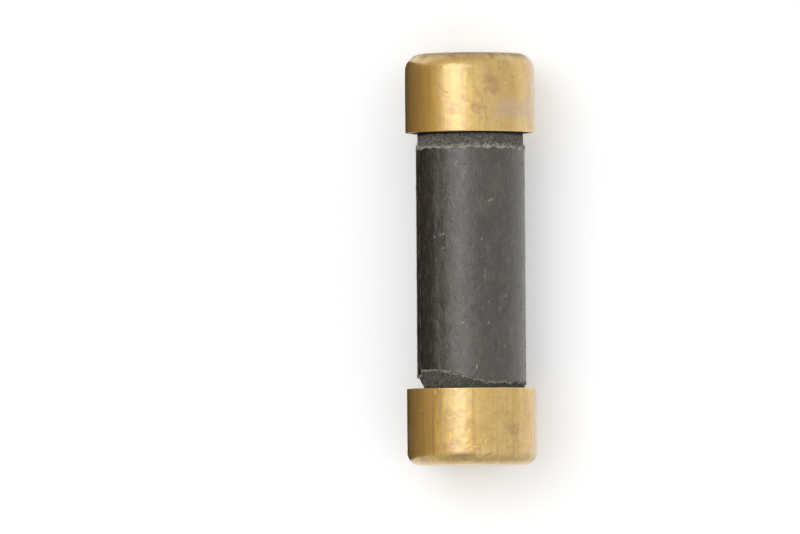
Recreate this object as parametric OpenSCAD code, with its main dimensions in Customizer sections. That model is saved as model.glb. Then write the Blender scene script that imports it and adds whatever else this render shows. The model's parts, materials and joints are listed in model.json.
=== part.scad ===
// Ferrule-type cartridge fuse with a sand-filled fibre body, in millimetres.
// The fuse lies on its side: its axis is the Y axis, its middle is the origin and +Y is its upper end.

/* [Ferrules] */
// Overall length of the fuse
fuse_length = 32.7; // [30:0.1:40]
// Outside diameter of both end caps
ferrule_diameter = 10.3; // [9.5:0.1:12]
// Length of the upper end cap
upper_ferrule_length = 6.3; // [5:0.1:8]
// Length of the lower end cap
lower_ferrule_length = 6.1; // [5:0.1:8]
// Thickness of the brass
ferrule_wall = 0.5; // [0.3:0.05:0.6]
// Radius of the upper cap's drawn outer corner
upper_ferrule_corner = 1.35; // [0.7:0.05:1.6]
// Radius of the lower cap's drawn outer corner
lower_ferrule_corner = 1.05; // [0.7:0.05:1.6]

/* [Fibre tube] */
// Gap between the tube and the inside of the caps, which the cement fills
cement_gap = 0.45; // [0.25:0.05:0.5]
// Thickness of the tube's wall
tube_wall = 1.15; // [0.8:0.05:1.3]
// Length of the chipped edge beside the lower cap
chip_length = 0.95; // [0.4:0.05:1.2]
// Depth of the chipped edge
chip_depth = 0.5; // [0.2:0.05:0.6]

/* [Outer sleeve] */
// Thickness of the wrapped sheet
sleeve_wall = 0.13; // [0.1:0.01:0.2]
// Bare tube between the upper cap and the sleeve
upper_bare_tube = 1; // [0.2:0.1:2]
// Bare tube above the lower cap, beyond the lap's free edge
lower_bare_tube_under_lap = 1; // [0.9:0.1:1.4]
// Bare tube above the lower cap, where the sheet is cut short
lower_bare_tube_left = 1.4; // [1.4:0.1:2]
// Bare tube above the lower cap, on the other side
lower_bare_tube_right = 0.4; // [0.2:0.1:0.8]
// Angle from the top line of the lying fuse to the lap's free edge, on its left
lap_angle = 67; // [45:1:75]
// How far round the tube, towards the top line, the sheet lies double
lap_span = 34; // [10:1:60]

/* [Fuse strip] */
// Width of the strip that melts
strip_width = 3; // [2:0.1:4]
// Thickness of the strip
strip_thickness = 0.15; // [0.1:0.01:0.25]
// Width that is left at each neck
neck_width = 0.8; // [0.4:0.1:1.4]
// Necks on each side of the middle
necks_per_side = 2; // [1:1:3]
// Distance between necks
neck_pitch = 4; // [3:0.1:4.2]
// Diameter of the low-melting alloy bead
bead_diameter = 2.2; // [1:0.1:2.6]

/* [End closures] */
// Thickness of the slotted discs that close the tube
disc_thickness = 0.6; // [0.4:0.1:1]
// Depth of the solder between each disc and its cap
solder_depth = 0.4; // [0.3:0.05:0.6]
// Diameter of the solder joints
solder_diameter = 5.2; // [4:0.1:6]

/* [Hidden] */
$fn = 96;

half_length = fuse_length / 2;
ferrule_radius = ferrule_diameter / 2;
ferrule_bore = ferrule_radius - ferrule_wall;
tube_radius = ferrule_bore - cement_gap;
tube_bore = tube_radius - tube_wall;
sleeve_radius = tube_radius + sleeve_wall;

// Places along the axis, measured from the middle
disc_face = half_length - ferrule_wall - solder_depth;
tube_end = disc_face - disc_thickness;
upper_mouth = half_length - upper_ferrule_length;
lower_mouth = lower_ferrule_length - half_length;
sleeve_top = upper_mouth - upper_bare_tube;

// The skewed cut across the sleeve's lower edge runs between these two places on X
skew_start = -2.4;
skew_end = 1.2;

disc_clearance = 0.05; // round the disc, and round the strip in its slot
cement_setback = 0.8; // from a cap's mouth to the cement
tab_length = 2.1; // the strip's end that is folded over the disc
bead_height = 0.5;
overcut = 1; // how far cutting shapes run past what they cut

// Turns what is drawn upright, with its axis on Z, onto the fuse's axis. Its -Y side comes to face up.
module along_fuse() {
    rotate([-90, 0, 0]) children();
}

// Half of the section of a rod with one rounded end
module rounded_rod_section(radius, length, corner) {
    square([radius - corner, length]);
    square([radius, length - corner]);
    translate([radius - corner, length - corner]) circle(corner);
}

// A drawn cup with its mouth at z = 0
module ferrule(length, corner) {
    color("goldenrod")
    rotate_extrude()
    difference() {
        rounded_rod_section(ferrule_radius, length, corner);
        rounded_rod_section(ferrule_bore, length - ferrule_wall, corner - ferrule_wall);
    }
}

// A closed ring from z = bottom to z = top
module ring(outer_radius, inner_radius, bottom, top) {
    translate([0, 0, bottom])
    rotate_extrude()
    translate([inner_radius, 0])
    square([outer_radius - inner_radius, top - bottom]);
}

// The outline of the punched strip: x runs across it and y along the fuse
module strip_outline() {
    notch_radius = (strip_width - neck_width) / 2;
    difference() {
        square([strip_width, 2 * (disc_face + strip_thickness)], center = true);
        for (side = [-1, 1], end = [-1, 1], neck = [1 : necks_per_side])
            translate([side * strip_width / 2, end * neck * neck_pitch])
            circle(notch_radius);
    }
}

// The strip's folded end, lying on the upper disc
module strip_tab() {
    translate([-strip_width / 2, -strip_thickness / 2, disc_face])
    cube([strip_width, tab_length, strip_thickness]);
}

module strip_solid() {
    rotate([90, 0, 0])
    linear_extrude(strip_thickness, center = true)
    strip_outline();
    strip_tab();
    mirror([0, 0, 1]) strip_tab();
}

// A shallow dome of alloy on the side of the strip that faces -Y
module bead_solid() {
    dome_radius = (pow(bead_diameter / 2, 2) + pow(bead_height, 2)) / (2 * bead_height);
    translate([0, -strip_thickness / 2, 0])
    rotate([90, 0, 0])
    intersection() {
        translate([0, 0, bead_height - dome_radius]) sphere(dome_radius);
        cylinder(h = bead_height, d = bead_diameter + overcut);
    }
}

module slotted_disc() {
    slot_width = strip_width + 2 * disc_clearance;
    slot_height = strip_thickness + 2 * disc_clearance;
    color("tan")
    translate([0, 0, tube_end])
    difference() {
        cylinder(h = disc_thickness, r = tube_radius - disc_clearance);
        cube([slot_width, slot_height, 2 * disc_thickness + overcut], center = true);
    }
}

module solder_joint() {
    color("lightgray")
    difference() {
        translate([0, 0, disc_face]) cylinder(h = solder_depth, d = solder_diameter);
        strip_tab();
    }
}

// Cement inside the cap whose mouth is at this height
module cement_ring(mouth) {
    color("sienna")
    ring(ferrule_bore, tube_radius, mouth + cement_setback, tube_end);
}

// A prism that runs through the fuse from front to back, from an outline with y along the fuse
module through_cut() {
    linear_extrude(2 * ferrule_diameter, center = true) children();
}

module upper_end_cap() {
    along_fuse()
    translate([0, 0, upper_mouth])
    ferrule(upper_ferrule_length, upper_ferrule_corner);
}

module lower_end_cap() {
    along_fuse()
    mirror([0, 0, 1])
    translate([0, 0, -lower_mouth])
    ferrule(lower_ferrule_length, lower_ferrule_corner);
}

module fibre_tube() {
    color("dimgray")
    difference() {
        along_fuse() ring(tube_radius, tube_bore, -tube_end, tube_end);
        through_cut()
        polygon([
            [-tube_radius, lower_mouth + chip_length],
            [-tube_radius + chip_depth, lower_mouth],
            [-tube_radius - overcut, lower_mouth],
            [-tube_radius - overcut, lower_mouth + chip_length]
        ]);
    }
}

// The wrapped sheet seen from the end: a ring with a second thickness where the sheet laps over itself
module sleeve_section() {
    wedge_reach = 2 * sleeve_radius;
    difference() {
        union() {
            circle(sleeve_radius);
            intersection() {
                circle(sleeve_radius + sleeve_wall);
                polygon([
                    [0, 0],
                    for (angle = [lap_angle - lap_span, lap_angle])
                        wedge_reach * [-sin(angle), -cos(angle)]
                ]);
            }
        }
        circle(tube_radius);
    }
}

module outer_sleeve() {
    lap_edge = -sleeve_radius * sin(lap_angle);
    color("darkslategray")
    difference() {
        along_fuse()
        translate([0, 0, lower_mouth])
        linear_extrude(sleeve_top - lower_mouth)
        sleeve_section();
        through_cut()
        polygon([
            [-ferrule_diameter, lower_mouth + lower_bare_tube_under_lap],
            [lap_edge, lower_mouth + lower_bare_tube_under_lap],
            [lap_edge, lower_mouth + lower_bare_tube_left],
            [skew_start, lower_mouth + lower_bare_tube_left],
            [skew_end, lower_mouth + lower_bare_tube_right],
            [ferrule_diameter, lower_mouth + lower_bare_tube_right],
            [ferrule_diameter, lower_mouth - overcut],
            [-ferrule_diameter, lower_mouth - overcut]
        ]);
    }
}

module fuse_link() {
    color("silver") along_fuse() strip_solid();
}

module alloy_bead() {
    color("gray") along_fuse() bead_solid();
}

module sand_filler() {
    color("wheat")
    along_fuse()
    difference() {
        translate([0, 0, -tube_end]) cylinder(h = 2 * tube_end, r = tube_bore);
        strip_solid();
        bead_solid();
    }
}

module upper_slotted_disc() {
    along_fuse() slotted_disc();
}

module lower_slotted_disc() {
    along_fuse() mirror([0, 0, 1]) slotted_disc();
}

module upper_solder_joint() {
    along_fuse() solder_joint();
}

module lower_solder_joint() {
    along_fuse() mirror([0, 0, 1]) solder_joint();
}

module upper_cement_ring() {
    along_fuse() cement_ring(upper_mouth);
}

module lower_cement_ring() {
    along_fuse() mirror([0, 0, 1]) cement_ring(-lower_mouth);
}

upper_end_cap();
lower_end_cap();
outer_sleeve();
fibre_tube();
fuse_link();
alloy_bead();
sand_filler();
upper_slotted_disc();
lower_slotted_disc();
upper_solder_joint();
lower_solder_joint();
upper_cement_ring();
lower_cement_ring();
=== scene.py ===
"""Looks of a ferrule cartridge fuse that lies on its side on a pale table.

Lengths are in metres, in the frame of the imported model: the fuse's axis is Y, its upper end is +Y and the
camera looks down on it from +Z. Places round the fuse are given as an angle from its top line, positive
towards +X, so -90 degrees is its left flank.
"""

import json
import math
import random

import bmesh
import bpy
from mathutils import Matrix, Vector, noise


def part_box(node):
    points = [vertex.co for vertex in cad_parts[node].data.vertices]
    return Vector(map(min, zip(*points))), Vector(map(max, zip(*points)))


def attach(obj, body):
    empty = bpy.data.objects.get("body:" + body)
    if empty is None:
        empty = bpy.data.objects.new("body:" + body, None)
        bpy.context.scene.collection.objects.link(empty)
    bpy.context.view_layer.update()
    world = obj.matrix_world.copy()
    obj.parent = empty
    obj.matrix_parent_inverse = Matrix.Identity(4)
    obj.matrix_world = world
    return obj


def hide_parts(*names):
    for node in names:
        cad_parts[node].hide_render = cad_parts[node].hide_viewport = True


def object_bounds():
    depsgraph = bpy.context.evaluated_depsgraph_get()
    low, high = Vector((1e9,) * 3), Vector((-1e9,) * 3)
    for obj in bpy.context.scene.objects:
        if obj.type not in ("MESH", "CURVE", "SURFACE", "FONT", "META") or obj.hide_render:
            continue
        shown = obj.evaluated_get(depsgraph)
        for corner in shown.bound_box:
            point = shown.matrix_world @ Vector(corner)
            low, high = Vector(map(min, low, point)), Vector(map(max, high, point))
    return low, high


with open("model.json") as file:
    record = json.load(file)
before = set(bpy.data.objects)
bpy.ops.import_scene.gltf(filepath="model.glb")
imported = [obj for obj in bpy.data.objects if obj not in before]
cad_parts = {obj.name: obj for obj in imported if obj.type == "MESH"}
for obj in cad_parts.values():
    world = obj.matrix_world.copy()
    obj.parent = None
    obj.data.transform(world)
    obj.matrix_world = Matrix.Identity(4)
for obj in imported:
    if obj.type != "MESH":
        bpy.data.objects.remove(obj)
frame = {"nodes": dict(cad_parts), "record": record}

MM = 0.001
cad_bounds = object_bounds()

# ---------------------------------------------------------------- sizes, all read from the frame
UPPER_CAP_LOW, UPPER_CAP_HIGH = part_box("upper_end_cap")
LOWER_CAP_LOW, LOWER_CAP_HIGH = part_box("lower_end_cap")
TUBE_LOW, TUBE_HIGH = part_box("fibre_tube")
SLEEVE_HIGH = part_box("outer_sleeve")[1]
SAND_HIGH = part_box("sand_filler")[1]
CEMENT_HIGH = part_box("upper_cement_ring")[1]

CAP_RADIUS = UPPER_CAP_HIGH.x
CAP_BORE = CEMENT_HIGH.x
CAP_WALL = CAP_RADIUS - CAP_BORE
TUBE_RADIUS = TUBE_HIGH.x
TUBE_BORE = SAND_HIGH.x
SLEEVE_RADIUS = SLEEVE_HIGH.x  # without the lap
SLEEVE_WALL = SLEEVE_RADIUS - TUBE_RADIUS
UPPER_MOUTH = UPPER_CAP_LOW.y
LOWER_MOUTH = LOWER_CAP_HIGH.y
SLEEVE_TOP = SLEEVE_HIGH.y


def straight_length(mount_name):
    """The length of a cap's straight part, which is what a fuse clip holds."""
    mounts = {mount["name"]: mount for mount in frame["record"]["mounts"]}
    return mounts[mount_name]["dims"]["length_mm"] * MM


# ---------------------------------------------------------------- helpers for meshes


def direction(angle):
    """The unit vector across the fuse at an angle, in degrees, from its top line."""
    turn = math.radians(angle)
    return Vector((math.sin(turn), 0, math.cos(turn)))


def turn_between(angle, other):
    """The turn from the angle other to angle, the short way round, in degrees."""
    return (angle - other + 180) % 360 - 180


def wobble(x, y, z, size, octaves=3):
    """Smooth noise from about -1 to 1 whose features are about size across."""
    return noise.fractal(Vector((x, y, z)) / size, 1.0, 2.0, octaves, noise_basis="PERLIN_ORIGINAL")


def smooth_step(edge_low, edge_high, value):
    """0 below edge_low, 1 above edge_high and a smooth rise between."""
    share = min(1.0, max(0.0, (value - edge_low) / (edge_high - edge_low)))
    return share * share * (3 - 2 * share)


def bump_at(distance, reach):
    """1 at distance 0, falling smoothly to 0 at reach."""
    return 1 - smooth_step(0, reach, abs(distance))


def new_piece(name, points, faces, attributes=None):
    """A smooth-shaded mesh object. attributes holds a list with one number per point for each name."""
    mesh = bpy.data.meshes.new(name)
    mesh.from_pydata(points, [], faces)
    mesh.validate()
    turned = bmesh.new()
    turned.from_mesh(mesh)
    bmesh.ops.recalc_face_normals(turned, faces=turned.faces)
    turned.to_mesh(mesh)
    turned.free()
    mesh.polygons.foreach_set("use_smooth", [True] * len(mesh.polygons))
    for label, values in (attributes or {}).items():
        layer = mesh.attributes.new(label, "FLOAT", "POINT")
        layer.data.foreach_set("value", values)
    piece = bpy.data.objects.new(name, mesh)
    bpy.context.scene.collection.objects.link(piece)
    return piece


def band_faces(low, high, columns):
    """Quads between two closed rings, whose points are numbered from low and from high."""
    faces = []
    for column in range(columns):
        beside = (column + 1) % columns
        faces.append((low + column, low + beside, high + beside, high + column))
    return faces


def ring_faces(columns, rows, closed_rows=False):
    """Quads over a grid of points that closes round the fuse: point number = row * columns + column."""
    faces = []
    for row in range(rows if closed_rows else rows - 1):
        above = (row + 1) % rows
        faces.extend(band_faces(row * columns, above * columns, columns))
    return faces


def spread(low, high, count):
    """count + 1 evenly spaced numbers from low to high."""
    return [low + (high - low) * step / count for step in range(count + 1)]


def mark_strength(marks, radius, angle, along):
    """How deep in a mark a place on the skin is, from 0 to 1. A mark is (angle, place on Y, half length,
    half width, tilt in degrees from level)."""
    strength = 0.0
    for mark_angle, mark_along, half_length, half_width, tilt in marks:
        lengthwise = along - mark_along
        if abs(lengthwise) > half_length + half_width:
            continue
        around = math.radians(turn_between(angle, mark_angle)) * radius
        turn = math.radians(tilt)
        run = (around * math.cos(turn) + lengthwise * math.sin(turn)) / half_length
        side = (lengthwise * math.cos(turn) - around * math.sin(turn)) / half_width
        strength = max(strength, 1 - smooth_step(0.1, 1.0, math.hypot(run, side)))
    return strength


# ---------------------------------------------------------------- brass end caps

CAP_COLUMNS = 480
LIP_RADIUS = 0.07 * MM
LIP_SHINE = 0.22 * MM  # how far the bright edge, rubbed and with a painted highlight, reaches from the mouth
RIM_SHINE = 0.30 * MM  # and from the edge of the flat end
RIM_SHARE = 0.6  # how bright that edge is, compared with the mouth's
END_CLEAN = 0.7  # how much less grime there is on the flat end than on the corner
WAVE_DEPTH = 0.012 * MM  # the brass is slightly wavy
WAVE_SIZE = 2.6 * MM
PIT_DEPTH = 0.008 * MM  # and finely pitted
PIT_SIZE = 0.5 * MM
SCRATCH_DEPTH = 0.02 * MM
GRIME_FADE = 0.56  # the share of the rounded corner over which the grime sets in

# What the brass material reads inside a cup and at the middle of its flat end, where it has no marks
INSIDE_TRAITS = {"stain": 0.6, "amber": 0.0, "hairline": 0.0, "wear_and_highlight": 0.0, "grime": 1.0, "scratch": 0.0}
END_MIDDLE_TRAITS = {"stain": 0.0, "amber": 0.0, "hairline": 0.0, "wear_and_highlight": 0.0, "grime": 0.3, "scratch": 0.0}


def arc(middle, reach, start, stop, steps):
    """(radius, height) points round middle, from the angle start to the angle stop in degrees. 0 is away from
    the fuse's axis and 90 is towards the closed end."""
    turns = [math.radians(turn) for turn in spread(start, stop, steps)]
    return [(middle[0] + reach * math.cos(turn), middle[1] + reach * math.sin(turn)) for turn in turns]


def cap_section(length, straight):
    """(radius, height) points of the cup's outside, from its flat end to the lip, then those of its inside,
    from the lip to the roof, and the roof's height. Height 0 is the mouth."""
    corner = length - straight
    flat = CAP_RADIUS - corner
    outer = [(radius, length) for radius in spread(0.0, flat, 14)[1:]]
    outer += arc((flat, straight), corner, 90, 0, 16)[1:]
    outer += [(CAP_RADIUS, height) for height in spread(straight, LIP_RADIUS, 84)[1:]]
    outer += arc((CAP_RADIUS - LIP_RADIUS, LIP_RADIUS), LIP_RADIUS, 0, -90, 4)[1:]
    inner_corner = corner - CAP_WALL
    inner_flat = CAP_BORE - inner_corner
    roof = length - CAP_WALL
    inner = arc((CAP_BORE + LIP_RADIUS, LIP_RADIUS), LIP_RADIUS, -90, -180, 4)
    inner += [(CAP_BORE, height) for height in spread(LIP_RADIUS, roof - inner_corner, 6)[1:]]
    inner += arc((inner_flat, roof - inner_corner), inner_corner, 0, 90, 4)[1:]
    inner += [(radius, roof) for radius in spread(inner_flat, 0.0, 4)[1:-1]]
    return outer, inner, roof


def dent_depth(dents, angle, along):
    """How far the skin is pushed in at a place, from a list of (angle, place on Y, reach, depth)."""
    depth = 0.0
    for dent_angle, dent_along, reach, deepest in dents:
        around = math.radians(turn_between(angle, dent_angle)) * CAP_RADIUS
        depth += deepest * bump_at(math.hypot(around, along - dent_along), reach)
    return depth


def stain_strength(stains, angle, along):
    """How strong the stains are at a place. A stain is (angle, place on Y, degrees round, length on Y)."""
    strength = 0.0
    for stain_angle, stain_along, half_angle, half_length in stains:
        around = turn_between(angle, stain_angle) / half_angle
        lengthwise = (along - stain_along) / half_length
        ragged = 0.55 * wobble(math.radians(angle) * CAP_RADIUS, along, stain_along, 1.2 * MM)
        strength = max(strength, 1 - smooth_step(0.3, 1.35, math.hypot(around, lengthwise) + ragged))
    return strength


def corner_grime(turned, angle, marks):
    """Brown tarnish in a ragged band on the rounded corner: turned is 0 where it starts and 1 on the end."""
    around = direction(angle) * CAP_RADIUS
    ragged = 0.16 * wobble(*around, 1.3 * MM) + 0.06 * wobble(*around, 0.4 * MM)
    start = marks["grime_start"]
    band = smooth_step(start, start + GRIME_FADE, turned + ragged)
    rubbed = marks["grime_rubbed"] * smooth_step(0.6, 1.0, turned - 0.3 * ragged)
    return marks["grime_strength"] * band * (1 - rubbed)


def outside_traits(radius, height, corner_start, corner, angle, along, marks):
    """How stained, rubbed with a painted highlight on its edges, tarnished and scratched the outside of a cup
    is at a place, each from 0 to 1. The rounded corner begins at the height corner_start."""
    flat = CAP_RADIUS - corner
    lip = bump_at(height, LIP_SHINE)
    rim = bump_at(radius - flat, RIM_SHINE) if height > corner_start else 0.0
    on_flat = smooth_step(flat, flat - 0.6 * corner, radius)
    grime = corner_grime((height - corner_start) / corner, angle, marks)
    return {
        "stain": stain_strength(marks["stains"], angle, along),
        "amber": stain_strength(marks["ambers"], angle, along),
        "hairline": mark_strength(marks["hairlines"], CAP_RADIUS, angle, along),
        "wear_and_highlight": max(lip, RIM_SHARE * rim),
        "grime": grime * (1 - END_CLEAN * on_flat),
        "scratch": mark_strength(marks["scratches"], CAP_RADIUS, angle, along),
    }


def skin_push(radius, angle, along, dents, scratch, shift):
    """How far the outside of a cup is moved off its plain shape, 0 or less because it only goes in."""
    place = direction(angle) * radius
    push = WAVE_DEPTH * wobble(place.x + shift, along, place.z, WAVE_SIZE)
    push -= PIT_DEPTH * abs(wobble(place.x, along - shift, place.z, PIT_SIZE))
    push -= dent_depth(dents, angle, along)
    push -= SCRATCH_DEPTH * scratch
    return min(push, 0.0)


def end_cap(name, node, mouth, end, straight, marks, shift):
    """A drawn brass cup from its mouth to its closed end, both places on Y, with its dents and other marks.
    straight is the length of its straight part, and shift moves the noise, so that no two cups are alike."""
    length = abs(end - mouth)
    toward_end = 1 if end > mouth else -1
    outer, inner, roof = cap_section(length, straight)
    section = outer + inner
    points, traits = [], []
    for number, (radius, height) in enumerate(section):
        along = mouth + toward_end * height
        inward = 1 if height < straight else radius / CAP_RADIUS
        for column in range(CAP_COLUMNS):
            angle = 360 * column / CAP_COLUMNS
            push, trait = 0.0, INSIDE_TRAITS
            if number < len(outer):
                trait = outside_traits(radius, height, straight, length - straight, angle, along, marks)
                push = skin_push(radius, angle, along, marks["dents"], trait["scratch"], shift)
            place = direction(angle) * (radius + push * inward)
            place.y = along + toward_end * push * (1 - inward)
            points.append(place)
            traits.append(trait)
    faces = ring_faces(CAP_COLUMNS, len(section))
    outer_pole, inner_pole = len(points), len(points) + 1
    points.append(Vector((0, mouth + toward_end * length, 0)))
    points.append(Vector((0, mouth + toward_end * roof, 0)))
    traits += [END_MIDDLE_TRAITS, INSIDE_TRAITS]
    last_ring = (len(section) - 1) * CAP_COLUMNS
    for column in range(CAP_COLUMNS):
        beside = (column + 1) % CAP_COLUMNS
        faces.append((outer_pole, column, beside))
        faces.append((inner_pole, last_ring + column, last_ring + beside))
    attributes = {label: [trait[label] for trait in traits] for label in INSIDE_TRAITS}
    cap = new_piece(name, points, faces, attributes)
    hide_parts(node)
    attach(cap, "root")
    return cap


# ---------------------------------------------------------------- fibre tube

TUBE_COLUMNS = 420
FINE_ROW = 0.07 * MM  # distance between the rings of points where the tube shows
BARE_MARGIN = 0.5 * MM  # how far these fine rings run on under the sleeve and the caps
LOWER_FINE_REACH = 2.2 * MM  # and how far they reach from the lower cap
GRAIN_SIZE = 0.24 * MM
GRAIN_DEPTH = 0.022 * MM
LOWER_DARKENING = 0.36  # how much darker the tube is in its lower half, beside the lower cap
RIM_SHADOW_REACH = 0.2 * MM  # how far the painted shadow of the upper cap's rim reaches down the tube, on the top line
RIM_SHADOW_SPREAD = 1.1  # how much further, as a share, it shows on the flanks
CHIP_LENGTH = 0.95 * MM
CHIP_DEPTH = 0.5 * MM


def chipped(place):
    """place, moved in where the lower edge on the left is broken off along a slope."""
    run = (LOWER_MOUTH + CHIP_LENGTH - place.y) / CHIP_LENGTH
    if run <= 0:
        return place
    ragged = 0.05 * MM * wobble(place.x, place.y, place.z, 0.3 * MM)
    edge = -TUBE_RADIUS + CHIP_DEPTH * min(run, 1.4) + ragged
    return Vector((max(place.x, edge), place.y, place.z))


def grainy(across, along):
    """A place on the tube's outside, pushed in between the grains."""
    place = across * TUBE_RADIUS
    grain = wobble(place.x, along, place.z, GRAIN_SIZE, 2)
    grain += 0.5 * wobble(place.x, 0.4 * along, place.z, 0.6 * GRAIN_SIZE, 2)
    place = across * (TUBE_RADIUS - GRAIN_DEPTH * max(0.0, grain + 0.2))
    place.y = along
    return place


def tube_darkening(across, place):
    """How dark the tube is: painted shadow under the upper cap's rim, and evenly darker in its lower half."""
    ragged = 0.4 * wobble(place.x, 0, place.z, 0.7 * MM)
    reach = RIM_SHADOW_REACH * (1 + RIM_SHADOW_SPREAD * (1 - across.z) + ragged)
    cement = 1 - smooth_step(0.4 * reach, reach, UPPER_MOUTH - place.y)
    return max(cement, LOWER_DARKENING if place.y < 0 else 0.0)


def tube_rows():
    """Places on Y of the tube's outer rings of points, which are closest where it shows beside the caps."""
    lower_fine = (LOWER_MOUTH - BARE_MARGIN, LOWER_MOUTH + LOWER_FINE_REACH)
    upper_fine = (SLEEVE_TOP - BARE_MARGIN, UPPER_MOUTH + BARE_MARGIN)
    lower_count, upper_count = [round((high - low) / FINE_ROW) for low, high in (lower_fine, upper_fine)]
    stops = [TUBE_LOW.y, *lower_fine, *upper_fine, TUBE_HIGH.y]
    rows = [TUBE_LOW.y]
    for low, high, count in zip(stops, stops[1:], (6, lower_count, 24, upper_count, 6)):
        rows += spread(low, high, count)[1:]
    return rows


def fibre_tube():
    """The body tube: grainy outside, plain inside."""
    points, darkening = [], []
    for along in tube_rows():
        for column in range(TUBE_COLUMNS):
            across = direction(360 * column / TUBE_COLUMNS)
            place = grainy(across, along)
            points.append(chipped(place))
            darkening.append(tube_darkening(across, place))
    for along in spread(TUBE_HIGH.y, TUBE_LOW.y, 8):
        for column in range(TUBE_COLUMNS):
            place = direction(360 * column / TUBE_COLUMNS) * TUBE_BORE
            place.y = along
            points.append(place)
            darkening.append(0.0)
    faces = ring_faces(TUBE_COLUMNS, len(points) // TUBE_COLUMNS, closed_rows=True)
    tube = new_piece("fibre_body_tube", points, faces, {"darkening": darkening})
    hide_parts("fibre_tube")
    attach(tube, "root")
    return tube


# ---------------------------------------------------------------- outer sleeve

SLEEVE_COLUMNS = 540
SLEEVE_ROWS = 170
EDGE_STEPS = [0.03 * MM * step for step in range(10)]  # distances of the close rows along both cut edges
EDGE_BEVEL = 0.12 * MM
SLEEVE_GAP = 0.005 * MM  # between the sleeve's inside and the tube
NICK_DEPTH = 0.03 * MM
UPPER_FRAY = 0.27 * MM  # how far the pale roughness reaches in from the upper cut edge
LOWER_FRAY = 0.13 * MM  # and from the lower one
LAP_ANGLE = -67  # the free edge of the sheet
LAP_SPAN = 34  # how far towards the top line the sheet lies double
LAP_FADE = 14  # and over how much of that its step dies away
SHADE_SPAN = 23  # how far from the lap's edge the painted shade darkens the sheet
SHADE_FADE = 23  # and how much further it fades
LOWER_BARE_UNDER_LAP = 1.0 * MM
LOWER_BARE_LEFT = 1.4 * MM
LOWER_BARE_RIGHT = 0.4 * MM
SKEW_START = -2.4 * MM
SKEW_END = 1.2 * MM

# Nicks in the sleeve: angle, place on Y, half length, half width, tilt from level in degrees
NICKS = [
    (21.0, 4.6 * MM, 0.40 * MM, 0.07 * MM, 26),
    (-32.0, 1.9 * MM, 0.50 * MM, 0.06 * MM, 20),
    (-30.0, 0.85 * MM, 0.09 * MM, 0.08 * MM, 0),
    (-41.0, 1.75 * MM, 0.20 * MM, 0.05 * MM, -60),
    (39.0, -2.95 * MM, 0.16 * MM, 0.10 * MM, -30),
    (54.0, 0.5 * MM, 0.30 * MM, 0.04 * MM, -60),
    (52.0, 1.3 * MM, 0.20 * MM, 0.04 * MM, 70),
    (18.0, -5.1 * MM, 0.12 * MM, 0.09 * MM, 80),
    (15.0, -1.25 * MM, 0.50 * MM, 0.03 * MM, 85),
    (11.0, 1.5 * MM, 0.12 * MM, 0.07 * MM, 30),
    (48.0, -5.6 * MM, 0.50 * MM, 0.03 * MM, 90),
    (37.0, -7.0 * MM, 0.22 * MM, 0.05 * MM, 50),
    (-9.0, -5.1 * MM, 0.20 * MM, 0.05 * MM, -35),
    (5.0, -8.6 * MM, 0.30 * MM, 0.08 * MM, 84),
    (-15.0, 7.6 * MM, 0.30 * MM, 0.05 * MM, 60),
    (128.0, 3.0 * MM, 0.60 * MM, 0.06 * MM, 30),
    (170.0, -4.0 * MM, 0.35 * MM, 0.08 * MM, -20),
    (-150.0, 1.0 * MM, 0.45 * MM, 0.06 * MM, 70),
]


def sleeve_lower_edge(angle):
    """Where the sleeve ends above the lower cap: cut short on the left, then skewed down to the right."""
    across = SLEEVE_RADIUS * math.sin(math.radians(angle))
    share = min(1.0, max(0.0, (across - SKEW_START) / (SKEW_END - SKEW_START)))
    bare = LOWER_BARE_LEFT + (LOWER_BARE_RIGHT - LOWER_BARE_LEFT) * share
    if across < SLEEVE_RADIUS * math.sin(math.radians(LAP_ANGLE)):
        bare = LOWER_BARE_UNDER_LAP
    ragged = 0.07 * MM * wobble(*(direction(angle) * SLEEVE_RADIUS), 0.55 * MM)
    return LOWER_MOUTH + bare + ragged * (0.4 + 0.9 * share)


def sleeve_upper_edge(angle):
    """Where the sleeve ends below the upper cap: a rough cut that waves a little."""
    around = direction(angle) * SLEEVE_RADIUS
    wave = 0.16 * MM * (math.cos(math.radians(angle)) - 1)
    slow = 0.05 * MM * wobble(*around, 2.4 * MM)
    fast = 0.05 * MM * wobble(*around, 0.35 * MM)
    return min(SLEEVE_TOP, SLEEVE_TOP - 0.06 * MM + wave + slow + fast)


def lap_edge_paleness(angle, along):
    """A faint pale line, stronger here and there, where the lap's free edge is rubbed."""
    away = math.radians(angle - LAP_ANGLE - 1.0) * SLEEVE_RADIUS
    broken = smooth_step(-0.5, 0.5, wobble(0, along, 0, 1.1 * MM))
    return bump_at(away, 0.11 * MM) * (0.08 + 0.42 * broken)


def painted_lap_shade(angle, along):
    """How much painted shade darkens a ragged lengthwise band on the fuse's left flank, beside the lap's free
    edge.
    """
    ragged = 9 * wobble(math.radians(angle) * SLEEVE_RADIUS, 0.4 * along, 0, 0.8 * MM)
    band = smooth_step(LAP_ANGLE - 14, LAP_ANGLE + 3, angle)
    fade_start = LAP_ANGLE + SHADE_SPAN
    return band * (1 - smooth_step(fade_start, fade_start + SHADE_FADE, angle + ragged))


def sleeve_radius(angle, along, from_edge, nick):
    """The radius of the sleeve's outside at a place, which may be lapped, uneven, nicked or bevelled."""
    lap = smooth_step(LAP_ANGLE - 0.4, LAP_ANGLE + 0.9, angle)
    lap *= 1 - smooth_step(LAP_ANGLE + LAP_SPAN - LAP_FADE, LAP_ANGLE + LAP_SPAN, angle)
    highest = SLEEVE_RADIUS + SLEEVE_WALL * lap
    place = direction(angle) * highest
    radius = highest + 0.010 * MM * wobble(place.x, along, place.z, 1.6 * MM)
    radius += 0.005 * MM * wobble(place.x, 0.5 * along, place.z, 0.25 * MM)
    radius -= NICK_DEPTH * nick
    return min(radius, highest) - 0.8 * SLEEVE_WALL * (1 - smooth_step(0, EDGE_BEVEL, from_edge))


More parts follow.
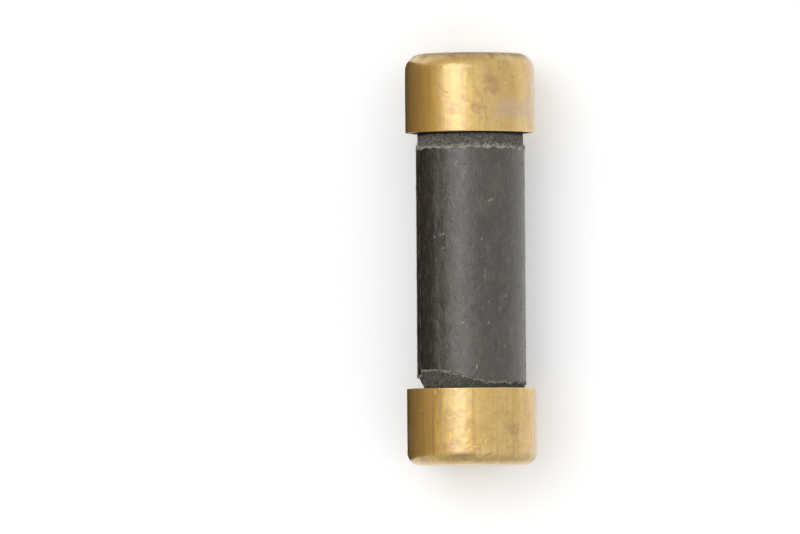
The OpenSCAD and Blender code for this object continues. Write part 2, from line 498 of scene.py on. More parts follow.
def cut_edge_paleness(place, from_edge):
    """How pale the sheet is, because its fibres stand up, near the cut edge that is from_edge away."""
    reach = UPPER_FRAY if place.y > 0 else LOWER_FRAY
    reach *= 1 + 0.9 * wobble(place.x, 0, place.z, 0.8 * MM)
    return 1 - smooth_step(0.3 * reach, reach, from_edge)


def row_place(kind, amount, low, high):
    """The place on Y of a row's point. amount is a distance from the low or the high cut edge or, between the
    close rows along them, a share of the way."""
    if kind == "low":
        return low + amount
    if kind == "high":
        return high - amount
    margin = EDGE_STEPS[-1]
    return low + margin + (high - low - 2 * margin) * amount


def outer_sleeve():
    """The sheet wrapped round the tube, with the step where it laps over itself, nicks and rough edges."""
    rows = [("low", step) for step in EDGE_STEPS]
    rows += [("between", share) for share in spread(0, 1, SLEEVE_ROWS)[1:-1]]
    rows += [("high", step) for step in reversed(EDGE_STEPS)]
    angles = [360 * column / SLEEVE_COLUMNS - 180 for column in range(SLEEVE_COLUMNS)]
    points, nicks, edges, shades = [], [], [], []
    for kind, amount in rows:
        for angle in angles:
            low, high = sleeve_lower_edge(angle), sleeve_upper_edge(angle)
            along = row_place(kind, amount, low, high)
            from_edge = min(along - low, high - along)
            nick = mark_strength(NICKS, SLEEVE_RADIUS, angle, along)
            place = direction(angle) * sleeve_radius(angle, along, from_edge, nick)
            place.y = along
            points.append(place)
            nicks.append(nick)
            edges.append(max(cut_edge_paleness(place, from_edge), lap_edge_paleness(angle, along)))
            shades.append(painted_lap_shade(angle, along))
    for inside_edge in (sleeve_upper_edge, sleeve_lower_edge):
        for angle in angles:
            place = direction(angle) * (TUBE_RADIUS + SLEEVE_GAP)
            place.y = inside_edge(angle)
            points.append(place)
            nicks.append(0.0)
            edges.append(1.0)
            shades.append(0.0)
    faces = ring_faces(SLEEVE_COLUMNS, len(points) // SLEEVE_COLUMNS, closed_rows=True)
    sleeve = new_piece("wrapped_sleeve", points, faces, {"nick": nicks, "edge": edges, "shade": shades})
    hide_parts("outer_sleeve")
    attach(sleeve, "root")
    return sleeve


# ---------------------------------------------------------------- frayed fibres

STRAND_SIDES = 5


def fray(name, edge_place, count, longest, spill, seed):
    """Short stray fibres along one edge of the sleeve, lying almost flat against it. spill is how far they
    stray from the edge, as a share of their length."""
    draw = random.Random(seed)
    points, faces = [], []
    for _ in range(count):
        angle = draw.uniform(-180, 180)
        length = longest * draw.uniform(0.35, 1.0)
        heading = math.radians(draw.gauss(0, 30) + draw.choice((0, 180)))
        along = edge_place(angle) + draw.uniform(-spill, spill) * length
        thickness = draw.uniform(0.012, 0.026) * MM
        lift = draw.uniform(0.0, 0.07) * MM
        path = strand_path(angle, along, length, heading, draw.gauss(0, 0.9), lift)
        add_strand(points, faces, path, thickness)
    fibres = new_piece(name, points, faces)
    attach(fibres, "root")
    return fibres


def lint(count, longest, seed):
    """Fine pale fibres that stick to the sleeve's skin, most of them lengthwise."""
    draw = random.Random(seed)
    points, faces = [], []
    for _ in range(count):
        angle = draw.uniform(-180, 180)
        along = draw.uniform(LOWER_MOUTH + LOWER_BARE_LEFT, SLEEVE_TOP - longest)
        length = longest * draw.uniform(0.2, 1.0) ** 2
        heading = math.radians(draw.gauss(90, 45))
        thickness = draw.uniform(0.006, 0.012) * MM
        path = strand_path(angle, along, length, heading, draw.gauss(0, 1.2), 0.5 * SLEEVE_WALL)
        add_strand(points, faces, path, thickness)
    fibres = new_piece("sleeve_lint", points, faces)
    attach(fibres, "root")
    return fibres


def strand_path(angle, along, length, heading, curl, lift):
    """Points of one curled fibre on the sleeve, whose ends stand out a little further than its middle."""
    path = []
    for share in spread(-0.5, 0.5, 5):
        bend = heading + curl * share
        around = length * share * math.cos(bend)
        radius = SLEEVE_RADIUS - 0.5 * SLEEVE_WALL + lift * (1 + abs(share))
        spot = direction(angle + math.degrees(around / SLEEVE_RADIUS)) * radius
        spot.y = along + length * share * math.sin(bend)
        path.append(spot)
    return path


def add_strand(points, faces, path, thickness):
    """Adds a closed strand with tapering ends that follows the path."""
    sides = STRAND_SIDES
    first = len(points)
    for number, spot in enumerate(path):
        ahead = path[min(number + 1, len(path) - 1)] - path[max(number - 1, 0)]
        outward = Vector((spot.x, 0, spot.z)).normalized()
        sideways = ahead.cross(outward).normalized()
        share = number / (len(path) - 1)
        radius = thickness * (0.25 + 0.75 * math.sin(math.pi * share))
        for side in range(sides):
            turn = 2 * math.pi * side / sides
            points.append(spot + radius * (math.cos(turn) * sideways + math.sin(turn) * outward))
    for number in range(len(path) - 1):
        ring = first + number * sides
        faces.extend(band_faces(ring, ring + sides, sides))
    last = first + (len(path) - 1) * sides
    faces.append(tuple(range(first, first + sides)))
    faces.append(tuple(range(last + sides - 1, last - 1, -1)))


# ---------------------------------------------------------------- material helpers


class Tree:
    """Builds a material's node tree. Its places are in millimetres of the fuse's own frame."""

    def __init__(self, name):
        self.material = bpy.data.materials.new(name)
        self.material.use_nodes = True
        self.tree = self.material.node_tree
        self.tree.nodes.clear()
        self.output = self.tree.nodes.new("ShaderNodeOutputMaterial")
        self.shader = self.tree.nodes.new("ShaderNodeBsdfPrincipled")
        self.tree.links.new(self.shader.outputs["BSDF"], self.output.inputs["Surface"])
        self.places = self.tree.nodes.new("ShaderNodeTexCoord").outputs["Object"]

    def put(self, socket, value):
        """Links a socket to a node's output, or sets it to a plain value."""
        if isinstance(value, bpy.types.NodeSocket):
            self.tree.links.new(value, socket)
        else:
            socket.default_value = value

    def set(self, **values):
        """Sets the shader's sockets: base_color=... is the socket Base Color."""
        for name, value in values.items():
            socket = name.replace("_", " ").title().replace("Ior", "IOR")
            self.put(self.shader.inputs[socket], value)

    def spot(self, stretch=(1, 1, 1)):
        """The place in millimetres, divided by stretch along each axis."""
        node = self.tree.nodes.new("ShaderNodeMapping")
        self.put(node.inputs["Vector"], self.places)
        self.put(node.inputs["Scale"], tuple(1 / MM / share for share in stretch))
        return node.outputs["Vector"]

    def noise(self, size, detail=3.0, roughness=0.5, stretch=(1, 1, 1), distortion=0.0):
        """Cloudy noise, 0 to 1, whose features are about size millimetres across."""
        node = self.tree.nodes.new("ShaderNodeTexNoise")
        self.put(node.inputs["Vector"], self.spot(stretch))
        self.put(node.inputs["Scale"], 1 / size)
        self.put(node.inputs["Detail"], detail)
        self.put(node.inputs["Roughness"], roughness)
        self.put(node.inputs["Distortion"], distortion)
        return node.outputs["Fac"]

    def grains(self, size, stretch=(1, 1, 1)):
        """Distance to the middle of cells about size millimetres across."""
        node = self.tree.nodes.new("ShaderNodeTexVoronoi")
        self.put(node.inputs["Vector"], self.spot(stretch))
        self.put(node.inputs["Scale"], 1 / size)
        return node.outputs["Distance"]

    def height(self):
        """The height, Z, in millimetres."""
        node = self.tree.nodes.new("ShaderNodeSeparateXYZ")
        self.put(node.inputs[0], self.spot())
        return node.outputs["Z"]

    def attribute(self, name):
        """A number kept on the mesh's points."""
        node = self.tree.nodes.new("ShaderNodeAttribute")
        node.attribute_name = name
        return node.outputs["Fac"]

    def ramp(self, value, low, high, to_low=0.0, to_high=1.0):
        """value, mapped smoothly from low..high to to_low..to_high."""
        node = self.tree.nodes.new("ShaderNodeMapRange")
        node.interpolation_type = "SMOOTHSTEP"
        self.put(node.inputs["Value"], value)
        self.put(node.inputs["From Min"], low)
        self.put(node.inputs["From Max"], high)
        self.put(node.inputs["To Min"], to_low)
        self.put(node.inputs["To Max"], to_high)
        return node.outputs["Result"]

    def maths(self, operation, first, second):
        """One of Blender's Math operations on two numbers."""
        node = self.tree.nodes.new("ShaderNodeMath")
        node.operation = operation
        self.put(node.inputs[0], first)
        self.put(node.inputs[1], second)
        return node.outputs["Value"]

    def mix(self, share, first, second):
        """A colour share of the way from first to second."""
        node = self.tree.nodes.new("ShaderNodeMix")
        node.data_type = "RGBA"
        self.put(node.inputs["Factor"], share)
        self.put(node.inputs["A"], opaque(first))
        self.put(node.inputs["B"], opaque(second))
        return node.outputs["Result"]

    def bump(self, height, depth, onto=None):
        """The surface normal with bumps depth millimetres high where height goes from 0 to 1."""
        node = self.tree.nodes.new("ShaderNodeBump")
        self.put(node.inputs["Strength"], 1.0)
        self.put(node.inputs["Distance"], depth * MM)
        self.put(node.inputs["Height"], height)
        if onto is not None:
            self.put(node.inputs["Normal"], onto)
        return node.outputs["Normal"]

    def on(self, piece):
        """Gives the piece this material alone."""
        piece.data.materials.clear()
        piece.data.materials.append(self.material)


def opaque(colour):
    """A colour of three numbers gets its fourth; a socket stays."""
    if isinstance(colour, bpy.types.NodeSocket):
        return colour
    return (*colour, 1.0)


# ---------------------------------------------------------------- materials

BRASS_BRIGHT = (0.71, 0.475, 0.125)
BRASS_BARE = (0.92, 0.76, 0.44)
BRASS_GOLD = (0.67, 0.42, 0.073)
BRASS_OLIVE = (0.54, 0.385, 0.062)
BRASS_BROWN = (0.50, 0.26, 0.06)
BRASS_GRIME = (0.22, 0.125, 0.042)
BRASS_SPECK = (0.22, 0.12, 0.04)
BRASS_STAIN = (0.60, 0.42, 0.23)
BRASS_AMBER = (0.46, 0.22, 0.05)

SHEET_DARK = (0.022, 0.017, 0.010)
SHEET_LIGHT = (0.038, 0.031, 0.019)
SHEET_FELT = (0.073, 0.061, 0.040)
SHEET_HAZE = (0.091, 0.079, 0.055)
SHEET_FLECK = (0.130, 0.113, 0.080)
# painted shade, which darkens the left flank beside the lap
SHEET_PAINTED_SHADE = (0.002, 0.003, 0.006)
SHEET_STREAK = (0.092, 0.080, 0.064)
SHEET_DUST = (0.20, 0.19, 0.17)
SHEET_NICK = (0.46, 0.45, 0.40)
SHEET_EDGE = (0.40, 0.39, 0.33)

TUBE_DARK = (0.052, 0.048, 0.040)
TUBE_LIGHT = (0.215, 0.203, 0.174)
TUBE_CLOUD = (0.105, 0.096, 0.084)
TUBE_PORE = (0.018, 0.016, 0.014)
TUBE_SPECK = (0.34, 0.33, 0.29)
# near black that the tube darkens towards, in the painted shadow under the upper cap's rim and in its lower
# half
TUBE_DARKENED = (0.010, 0.009, 0.008)

FIBRE_DARK = (0.18, 0.172, 0.145)
FIBRE_LIGHT = (0.44, 0.425, 0.37)


def brass_material(name, seed, drawn):
    """Drawn brass: cloudy gold with olive and brown drifts, lengthwise lines, specks, stains and worn edges,
    which also carry a painted highlight.
    drawn is how strong the lines from drawing the cup are, and seed gives each cup's clouds a stretch of its
    own, so that they differ."""
    tree = Tree(name)
    own = (1.0 + seed * 0.01, 1, 1)
    clouds = tree.noise(2.6, 4, 0.5, own, 0.4)
    drifts = tree.noise(0.9, 3, 0.5, (1, 5, 1))
    patches = tree.noise(0.85, 4, 0.6, own, 0.8)
    mottle = tree.noise(0.28, 4, 0.6, own, 0.4)
    bands = tree.noise(0.42, 3, 0.6, (1, 40, 1))
    lines = tree.noise(0.15, 3, 0.6, (1, 40, 1))
    hatch = tree.noise(0.10, 2, 0.6, (9, 1, 1))
    speck = tree.ramp(tree.grains(0.5, own), 0.06, 0.16, 1.0, 0.0)
    speck = tree.maths("MULTIPLY", speck, tree.ramp(patches, 0.48, 0.6))
    colour = tree.mix(tree.ramp(clouds, 0.36, 0.64), BRASS_GOLD, BRASS_BRIGHT)
    colour = tree.mix(tree.ramp(drifts, 0.5, 0.7, 0.0, 0.7), colour, BRASS_OLIVE)
    colour = tree.mix(tree.ramp(patches, 0.48, 0.72, 0.0, 0.6), colour, BRASS_BROWN)
    colour = tree.mix(tree.ramp(mottle, 0.5, 0.72, 0.0, 0.45), colour, BRASS_BROWN)
    colour = tree.mix(tree.ramp(bands, 0.48, 0.68, 0.0, 0.5 * drawn), colour, BRASS_BROWN)
    colour = tree.mix(tree.ramp(lines, 0.50, 0.68, 0.0, 0.4 * drawn), colour, BRASS_OLIVE)
    colour = tree.mix(tree.maths("MULTIPLY", speck, 0.6), colour, BRASS_SPECK)
    stain = tree.maths("MULTIPLY", tree.attribute("stain"), tree.ramp(patches, 0.3, 0.6, 0.45, 0.85))
    colour = tree.mix(stain, colour, BRASS_STAIN)
    amber = tree.maths("MULTIPLY", tree.attribute("amber"), tree.ramp(mottle, 0.3, 0.6, 0.35, 0.75))
    colour = tree.mix(amber, colour, BRASS_AMBER)
    colour = tree.mix(tree.maths("MULTIPLY", tree.attribute("hairline"), 0.75), colour, BRASS_GRIME)
    grime = tree.maths("MULTIPLY", tree.attribute("grime"), tree.ramp(patches, 0.3, 0.6, 0.7, 0.95))
    colour = tree.mix(grime, colour, BRASS_GRIME)
    colour = tree.mix(tree.maths("MULTIPLY", tree.attribute("scratch"), 0.85), colour, BRASS_BARE)
    # rubbed edges at the mouth and the flat end, lightened further as a painted highlight
    colour = tree.mix(tree.maths("MULTIPLY", tree.attribute("wear_and_highlight"), 0.8), colour, BRASS_BRIGHT)
    rough = tree.ramp(patches, 0.3, 0.75, 0.44, 0.56)
    rough = tree.maths("ADD", rough, tree.maths("MULTIPLY", tree.attribute("stain"), 0.08))
    rough = tree.maths("ADD", rough, tree.maths("MULTIPLY", tree.attribute("grime"), 0.08))
    rough = tree.maths("ADD", rough, tree.ramp(mottle, 0.4, 0.8, 0.0, 0.08))
    normal = tree.bump(bands, 0.020 * drawn)
    normal = tree.bump(lines, 0.009 * drawn, normal)
    normal = tree.bump(hatch, 0.002, normal)
    normal = tree.bump(mottle, 0.009, normal)
    normal = tree.bump(tree.maths("MULTIPLY", speck, -1.0), 0.008, normal)
    tree.set(base_color=colour, metallic=1.0, roughness=rough, normal=normal)
    shine = tree.ramp(tree.attribute("grime"), 0.0, 1.0, 1.0, 0.25)
    tree.set(coat_weight=shine, coat_roughness=0.2, coat_ior=2.0)
    return tree


def sleeve_material():
    """Smooth pressed fibre sheet: dark warm grey, felted lengthwise, with pale nicks and cut edges, and
    painted shade in a band beside the lap on its left flank."""
    tree = Tree("sleeve_fibre_sheet")
    clouds = tree.noise(2.6, 4, 0.55, (1, 1.8, 1))
    felt = tree.noise(0.5, 5, 0.65, (1, 1.9, 1), 0.6)
    haze = tree.noise(1.1, 4, 0.6, (1, 2.2, 1), 0.4)
    streaks = tree.noise(0.16, 3, 0.6, (1, 12, 1))
    fuzz = tree.noise(0.12, 3, 0.7)
    flecks = tree.noise(0.17, 4, 0.7, (1, 1.5, 1))
    blotches = tree.noise(0.42, 4, 0.65, (1, 1.8, 1), 0.5)
    dust = tree.ramp(tree.grains(0.6, (1, 1.8, 1)), 0.05, 0.16, 1.0, 0.0)
    dust = tree.maths("MULTIPLY", dust, tree.ramp(felt, 0.5, 0.62))
    colour = tree.mix(tree.ramp(clouds, 0.32, 0.68), SHEET_DARK, SHEET_LIGHT)
    colour = tree.mix(tree.ramp(felt, 0.46, 0.7, 0.0, 0.75), colour, SHEET_FELT)
    colour = tree.mix(tree.ramp(haze, 0.5, 0.7, 0.0, 0.4), colour, SHEET_HAZE)
    colour = tree.mix(tree.ramp(flecks, 0.52, 0.72, 0.0, 0.5), colour, SHEET_FLECK)
    # painted shade on the left flank beside the lap, mottled by the blotches
    shade = tree.maths("MULTIPLY", tree.attribute("shade"), tree.ramp(blotches, 0.42, 0.66, 1.0, 0.5))
    colour = tree.mix(shade, colour, SHEET_PAINTED_SHADE)
    colour = tree.mix(tree.ramp(streaks, 0.52, 0.78, 0.0, 0.35), colour, SHEET_STREAK)
    colour = tree.mix(tree.maths("MULTIPLY", dust, 0.45), colour, SHEET_DUST)
    nick = tree.maths("MULTIPLY", tree.attribute("nick"), tree.ramp(fuzz, 0.35, 0.6, 0.3, 0.95))
    colour = tree.mix(nick, colour, SHEET_NICK)
    edge = tree.maths("MULTIPLY", tree.attribute("edge"), tree.ramp(fuzz, 0.3, 0.55, 0.25, 0.95))
    colour = tree.mix(edge, colour, SHEET_EDGE)
    rough = tree.ramp(felt, 0.3, 0.7, 0.23, 0.39)
    rough = tree.maths("ADD", rough, tree.ramp(haze, 0.35, 0.65, -0.04, 0.06))
    rough = tree.maths("ADD", rough, tree.maths("MULTIPLY", tree.attribute("edge"), 0.3))
    rough = tree.maths("ADD", rough, tree.maths("MULTIPLY", shade, -0.09))
    normal = tree.bump(felt, 0.055)
    normal = tree.bump(streaks, 0.006, normal)
    normal = tree.bump(flecks, 0.020, normal)
    tree.set(base_color=colour, roughness=rough, normal=normal, specular_ior_level=1.0)
    return tree


def tube_material():
    """Vulcanised fibre: matt dark grey with pale grains and short dark pores that run lengthwise."""
    tree = Tree("tube_granular_fibre")
    grain = tree.noise(0.18, 3, 0.65)
    pores = tree.noise(0.12, 3, 0.6, (1, 1.8, 1))
    specks = tree.ramp(tree.grains(0.24), 0.12, 0.3, 1.0, 0.0)
    clouds = tree.noise(1.2, 3, 0.5)
    colour = tree.mix(tree.ramp(grain, 0.36, 0.68), TUBE_DARK, TUBE_LIGHT)
    colour = tree.mix(tree.ramp(clouds, 0.4, 0.65, 0.0, 0.5), colour, TUBE_CLOUD)
    colour = tree.mix(tree.ramp(pores, 0.56, 0.72, 0.0, 0.7), colour, TUBE_PORE)
    colour = tree.mix(tree.maths("MULTIPLY", specks, 0.25), colour, TUBE_SPECK)
    # painted shadow under the upper cap's rim, and the darker lower half
    colour = tree.mix(tree.attribute("darkening"), colour, TUBE_DARKENED)
    normal = tree.bump(grain, 0.03)
    normal = tree.bump(tree.maths("MULTIPLY", pores, -1.0), 0.02, normal)
    tree.set(base_color=colour, roughness=0.8, normal=normal, specular_ior_level=0.35)
    return tree


def fray_material():
    """Loose fibres of the sheet: matt, from grey to pale."""
    tree = Tree("frayed_fibres")
    clouds = tree.noise(0.25, 2)
    colour = tree.mix(tree.ramp(clouds, 0.35, 0.65), FIBRE_DARK, FIBRE_LIGHT)
    tree.set(base_color=colour, roughness=0.85, specular_ior_level=0.3)
    return tree


def plain_metal(name, dark, light, roughness):
    """Dull metal of the hidden pieces, with faint clouds and scratches."""
    tree = Tree(name)
    clouds = tree.noise(0.8, 4, 0.6)
    scratches = tree.noise(0.05, 3, 0.6, (1, 12, 1))
    colour = tree.mix(tree.ramp(clouds, 0.3, 0.7), dark, light)
    rough = tree.ramp(scratches, 0.3, 0.7, roughness - 0.08, roughness + 0.1)
    tree.set(base_color=colour, metallic=1.0, roughness=rough, normal=tree.bump(scratches, 0.004))
    return tree


def plain_matt(name, dark, light, grain_size, depth):
    """Matt, grainy stuff of the hidden pieces."""
    tree = Tree(name)
    grain = tree.noise(grain_size, 3, 0.6)
    cells = tree.grains(2 * grain_size)
    colour = tree.mix(tree.ramp(grain, 0.3, 0.7), dark, light)
    colour = tree.mix(tree.ramp(cells, 0.1, 0.5, 0.3, 0.0), colour, light)
    tree.set(base_color=colour, roughness=0.85, normal=tree.bump(grain, depth))
    return tree


# ---------------------------------------------------------------- the fuse

# Grime starts at grime_start of the way up a cap's rounded corner and is grime_strength strong, and
# grime_rubbed is how clean, from 0 to 1, the corner is where it meets the flat end.
# Dents are (angle, place on Y, reach, depth).
# Stains, which are grey, and ambers, which are brown, are (angle, place on Y, degrees round, length on Y).
# Scratches, which are bright, and hairlines, which are dark, are (angle, place on Y, half length, half width,
# tilt from level in degrees).
UPPER_MARKS = {
    "grime_start": 0.47,
    "grime_rubbed": 0.05,
    "grime_strength": 1.0,
    "dents": [
        (14, 15.0 * MM, 0.5 * MM, 0.020 * MM),
        (58, 12.9 * MM, 0.7 * MM, 0.018 * MM),
        (-120, 13.4 * MM, 0.9 * MM, 0.030 * MM),
        (165, 11.6 * MM, 0.6 * MM, 0.025 * MM),
    ],
    "stains": [
        (54, 11.8 * MM, 42, 0.95 * MM),
        (84, 13.6 * MM, 20, 2.6 * MM),
        (-140, 12.5 * MM, 24, 1.2 * MM),
    ],
    "ambers": [
        (18, 14.1 * MM, 7, 0.42 * MM),
        (22, 13.4 * MM, 5, 0.6 * MM),
        (7, 11.9 * MM, 8, 0.35 * MM),
    ],
    "scratches": [
        (33.0, 13.9 * MM, 0.30 * MM, 0.05 * MM, -20),
        (44.0, 14.5 * MM, 0.08 * MM, 0.08 * MM, 0),
        (-20.0, 12.6 * MM, 0.22 * MM, 0.05 * MM, 60),
        (-150.0, 12.8 * MM, 1.2 * MM, 0.05 * MM, 75),
    ],
    "hairlines": [
        (10.5, 12.5 * MM, 0.75 * MM, 0.045 * MM, 94),
        (14.0, 11.3 * MM, 0.75 * MM, 0.05 * MM, 107),
        (28.0, 15.0 * MM, 0.35 * MM, 0.06 * MM, 20),
        (41.0, 14.4 * MM, 0.30 * MM, 0.05 * MM, 150),
        (120.0, 12.0 * MM, 0.9 * MM, 0.05 * MM, 40),
    ],
}
LOWER_MARKS = {
    "grime_start": 0.04,
    "grime_rubbed": 0.85,
    "grime_strength": 0.4,
    "dents": [
        (4, -14.3 * MM, 0.45 * MM, 0.022 * MM),
        (9, -15.3 * MM, 0.50 * MM, 0.045 * MM),
        (-9, -14.2 * MM, 0.35 * MM, 0.014 * MM),
        (-4, -13.6 * MM, 0.25 * MM, 0.012 * MM),
        (-14, -14.7 * MM, 0.30 * MM, 0.015 * MM),
        (-33, -10.55 * MM, 0.22 * MM, 0.030 * MM),
        (112, -13.0 * MM, 0.8 * MM, 0.025 * MM),
        (-160, -12.2 * MM, 0.7 * MM, 0.030 * MM),
    ],
    "stains": [
        (150, -13.0 * MM, 20, 1.5 * MM),
        (-75, -14.0 * MM, 12, 1.0 * MM),
    ],
    "ambers": [
        (40, -13.6 * MM, 9, 0.5 * MM),
        (-24, -15.0 * MM, 12, 0.4 * MM),
        (160, -14.6 * MM, 14, 0.5 * MM),
    ],
    "scratches": [
        (11.5, -14.5 * MM, 0.36 * MM, 0.06 * MM, 64),
        (8.5, -15.0 * MM, 0.32 * MM, 0.06 * MM, 52),
        (5.0, -15.4 * MM, 0.30 * MM, 0.06 * MM, 72),
        (2.0, -14.9 * MM, 0.25 * MM, 0.05 * MM, 20),
        (9.5, -14.0 * MM, 0.22 * MM, 0.05 * MM, 110),
        (-52.0, -12.0 * MM, 0.60 * MM, 0.05 * MM, 15),
        (-29.5, -10.3 * MM, 0.11 * MM, 0.09 * MM, 0),
        (140.0, -12.6 * MM, 1.0 * MM, 0.06 * MM, -60),
    ],
    "hairlines": [
        (9.8, -14.6 * MM, 0.34 * MM, 0.05 * MM, 64),
        (6.8, -15.1 * MM, 0.30 * MM, 0.05 * MM, 55),
        (-31.0, -11.8 * MM, 1.4 * MM, 0.05 * MM, 90),
        (2.0, -11.2 * MM, 0.8 * MM, 0.035 * MM, 90),
        (-9.0, -15.62 * MM, 1.7 * MM, 0.22 * MM, 3),
        (14.0, -15.55 * MM, 0.7 * MM, 0.12 * MM, 20),
        (30.0, -12.4 * MM, 0.30 * MM, 0.05 * MM, 130),
        (-100.0, -13.0 * MM, 0.8 * MM, 0.05 * MM, 80),
    ],
}

upper_cap = end_cap(
    "brass_cap_upper", "upper_end_cap", UPPER_MOUTH, UPPER_CAP_HIGH.y,
    straight_length("upper_ferrule"), UPPER_MARKS, shift=0.03,
)
lower_cap = end_cap(
    "brass_cap_lower", "lower_end_cap", LOWER_MOUTH, LOWER_CAP_LOW.y,
    straight_length("lower_ferrule"), LOWER_MARKS, shift=0.07,
)
tube = fibre_tube()
sleeve = outer_sleeve()
top_fray = fray("upper_edge_fibres", sleeve_upper_edge, count=760, longest=0.6 * MM, spill=0.3, seed=11)
bottom_fray = fray("lower_edge_fibres", sleeve_lower_edge, count=520, longest=0.5 * MM, spill=0.22, seed=12)
skin_lint = lint(count=420, longest=0.9 * MM, seed=13)

brass_material("brass_upper", seed=3, drawn=0.9).on(upper_cap)
brass_material("brass_lower", seed=8, drawn=1.6).on(lower_cap)
tube_material().on(tube)
sleeve_material().on(sleeve)
fibres = fray_material()
fibres.on(top_fray)
fibres.on(bottom_fray)
fibres.on(skin_lint)

HIDDEN_LOOKS = {
    "fuse_link": plain_metal("link_tinned_strip", (0.58, 0.56, 0.52), (0.74, 0.72, 0.68), 0.34),
    "alloy_bead": plain_metal("bead_tin_alloy", (0.38, 0.38, 0.38), (0.55, 0.55, 0.56), 0.48),
    "upper_solder_joint": plain_metal("solder_dull", (0.48, 0.48, 0.48), (0.64, 0.64, 0.65), 0.42),
    "sand_filler": plain_matt("quartz_sand", (0.42, 0.37, 0.29), (0.74, 0.69, 0.60), 0.18, 0.05),
    "upper_slotted_disc": plain_matt("disc_brown_fibre", (0.24, 0.16, 0.10), (0.42, 0.30, 0.20), 0.12, 0.01),
    "upper_cement_ring": plain_matt("cement_dark", (0.045, 0.03, 0.02), (0.12, 0.085, 0.06), 0.2, 0.02),
}
for node in ("upper_solder_joint", "upper_slotted_disc", "upper_cement_ring"):
    HIDDEN_LOOKS[node.replace("upper", "lower")] = HIDDEN_LOOKS[node]
for node, look in HIDDEN_LOOKS.items():
    look.on(frame["nodes"][node])

# ---------------------------------------------------------------- floor, light and camera

FLOOR_HALF = 1.5
FLOOR_GLOW = 0.17  # keeps the white table almost shadowless, as an overexposed one is
FLOOR_DARK = (0.925, 0.925, 0.925)
FLOOR_LIGHT = (0.94, 0.94, 0.94)
FLAG_GAP = 0.4 * MM
FLAG_TOP = 6.0 * MM
FLAG_DARK = -1.4 * MM  # the height where it starts to get lighter
# the flag glows with these colours, from its foot to its top: a painted reflection in the fuse's left flank
FLAG_FOOT_COLOUR = (0.01, 0.008, 0.004)
FLAG_TOP_COLOUR = (0.49, 0.385, 0.26)
BLACK = (0, 0, 0, 1)
WHITE = (1, 1, 1, 1)


def flat_card(name, corners):
    """A four-cornered sheet."""
    mesh = bpy.data.meshes.new(name)
    mesh.from_pydata(corners, [], [(0, 1, 2, 3)])
    card = bpy.data.objects.new(name, mesh)
    bpy.context.scene.collection.objects.link(card)
    return card


def studio_floor():
    """The white table, level with the underside of the fuse."""
    half, level = FLOOR_HALF, cad_bounds[0].z
    floor = flat_card("floor", [(x * half, y * half, level) for x, y in ((-1, -1), (1, -1), (1, 1), (-1, 1))])
    tree = Tree("floor_white")
    clouds = tree.noise(40.0, 2)
    colour = tree.mix(tree.ramp(clouds, 0.3, 0.7), FLOOR_DARK, FLOOR_LIGHT)
    tree.set(base_color=colour, roughness=0.7, specular_ior_level=0.2)
    tree.set(emission_color=WHITE, emission_strength=FLOOR_GLOW)
    tree.on(floor)


def studio_flag():
    """A card close on the fuse's left that glows dark at its foot and brown at its top. It shows only as a
    dark painted reflection in the fuse's left flank.
    """
    low, high = cad_bounds
    across = low.x - FLAG_GAP
    flag = flat_card("flag", [
        (across, low.y, low.z),
        (across, high.y, low.z),
        (across, high.y, FLAG_TOP),
        (across, low.y, FLAG_TOP),
    ])
    tree = Tree("flag_painted_reflection")
    rise = tree.ramp(tree.height(), FLAG_DARK / MM, FLAG_TOP / MM)
    colour = tree.mix(rise, FLAG_FOOT_COLOUR, FLAG_TOP_COLOUR)
    tree.set(base_color=BLACK, roughness=1.0, specular_ior_level=0.0)
    tree.set(emission_color=colour, emission_strength=1.0)
    tree.on(flag)
    flag.visible_camera = False
    flag.visible_diffuse = False
    flag.visible_shadow = False


KEY_TOWARD = (-0.42, 0.24, 0.87)
KEY_DISTANCE = 0.55
KEY_WIDTH = 0.36
KEY_HEIGHT = 0.42
KEY_WATTS = 0.93


def softbox(name, toward, distance, width, height, watts):
    """A rectangular soft light that shines at the fuse from a direction."""
    data = bpy.data.lights.new(name, "AREA")
    data.shape = "RECTANGLE"
    data.size = width
    data.size_y = height
    data.energy = watts
    lamp = bpy.data.objects.new(name, data)
    bpy.context.scene.collection.objects.link(lamp)
    back = Vector(toward).normalized()
    lamp.location = back * distance
    lamp.rotation_mode = "QUATERNION"
    lamp.rotation_quaternion = (-back).to_track_quat("-Z", "Y")
    lamp.visible_camera = False


HORIZON_LIGHT = 0.72
OVERHEAD_LIGHT = 1.06
RIGHT_SHARE = 0.45  # how much the light leans towards the right
SEEN_GREY = (0.93, 0.93, 0.93, 1)


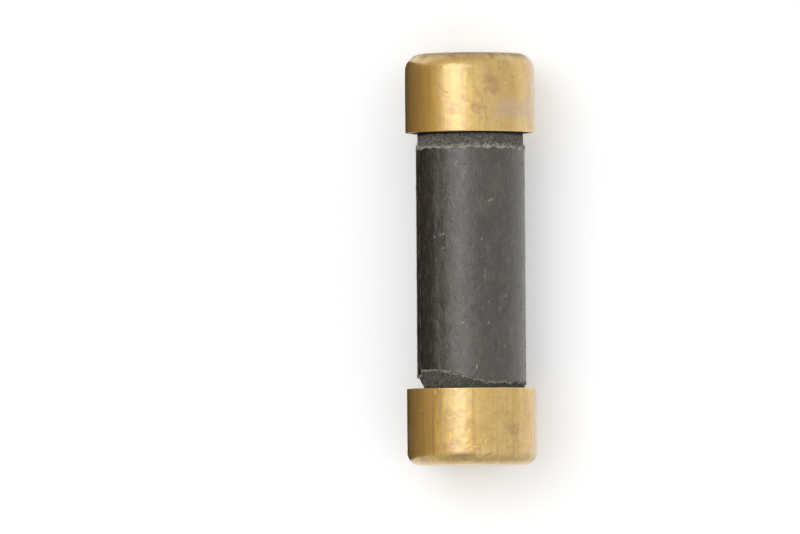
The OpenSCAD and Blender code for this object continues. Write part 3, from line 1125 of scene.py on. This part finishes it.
def studio_world():
    """A pale room: brightest overhead and dim at the horizon. The camera sees it as plain pale grey."""
    world = bpy.data.worlds.new("studio")
    bpy.context.scene.world = world
    world.use_nodes = True
    tree = world.node_tree
    tree.nodes.clear()
    output = tree.nodes.new("ShaderNodeOutputWorld")
    seen = tree.nodes.new("ShaderNodeBackground")
    lit = tree.nodes.new("ShaderNodeBackground")
    choose = tree.nodes.new("ShaderNodeMixShader")
    path = tree.nodes.new("ShaderNodeLightPath")
    place = tree.nodes.new("ShaderNodeTexCoord")
    lean = tree.nodes.new("ShaderNodeVectorMath")
    lean.operation = "DOT_PRODUCT"
    lean.inputs[1].default_value = (RIGHT_SHARE, 0, 1)
    rise = tree.nodes.new("ShaderNodeMapRange")
    rise.inputs["From Min"].default_value = -0.2
    rise.inputs["From Max"].default_value = 0.9
    rise.inputs["To Min"].default_value = HORIZON_LIGHT
    rise.inputs["To Max"].default_value = OVERHEAD_LIGHT
    seen.inputs["Color"].default_value = SEEN_GREY
    link = tree.links.new
    link(place.outputs["Generated"], lean.inputs[0])
    link(lean.outputs["Value"], rise.inputs["Value"])
    link(rise.outputs["Result"], lit.inputs["Strength"])
    link(path.outputs["Is Camera Ray"], choose.inputs["Fac"])
    link(lit.outputs[0], choose.inputs[1])
    link(seen.outputs[0], choose.inputs[2])
    link(choose.outputs[0], output.inputs["Surface"])


CAMERA_DISTANCE = 1.2
CAMERA_TARGET = (-5.64 * MM, -0.55 * MM, 0)  # left of the fuse, so that it stands right of the middle
CAMERA_TIP = math.radians(1.5)  # towards the fuse's lower end
CAMERA_LEAN = math.radians(0.38)  # sideways
VIEW_WIDTH = 63.55 * MM


def studio_camera():
    """Looks down on the fuse, tipped a little towards its lower end."""
    data = bpy.data.cameras.new("camera")
    data.sensor_width = 36.0
    data.lens = data.sensor_width * CAMERA_DISTANCE / VIEW_WIDTH
    data.clip_start = 0.05
    data.clip_end = 10.0
    camera = bpy.data.objects.new("camera", data)
    bpy.context.scene.collection.objects.link(camera)
    back = Vector((0, -math.sin(CAMERA_TIP), math.cos(CAMERA_TIP)))
    camera.location = Vector(CAMERA_TARGET) + back * CAMERA_DISTANCE
    camera.rotation_mode = "QUATERNION"
    tip = Matrix.Rotation(CAMERA_TIP, 4, "X").to_quaternion()
    lean = Matrix.Rotation(-CAMERA_LEAN, 4, "Z").to_quaternion()
    camera.rotation_quaternion = tip @ lean
    bpy.context.scene.camera = camera


studio_floor()
studio_world()
studio_flag()
softbox("key_light", KEY_TOWARD, KEY_DISTANCE, KEY_WIDTH, KEY_HEIGHT, KEY_WATTS)
studio_camera()
bpy.context.scene.view_settings.view_transform = "Standard"
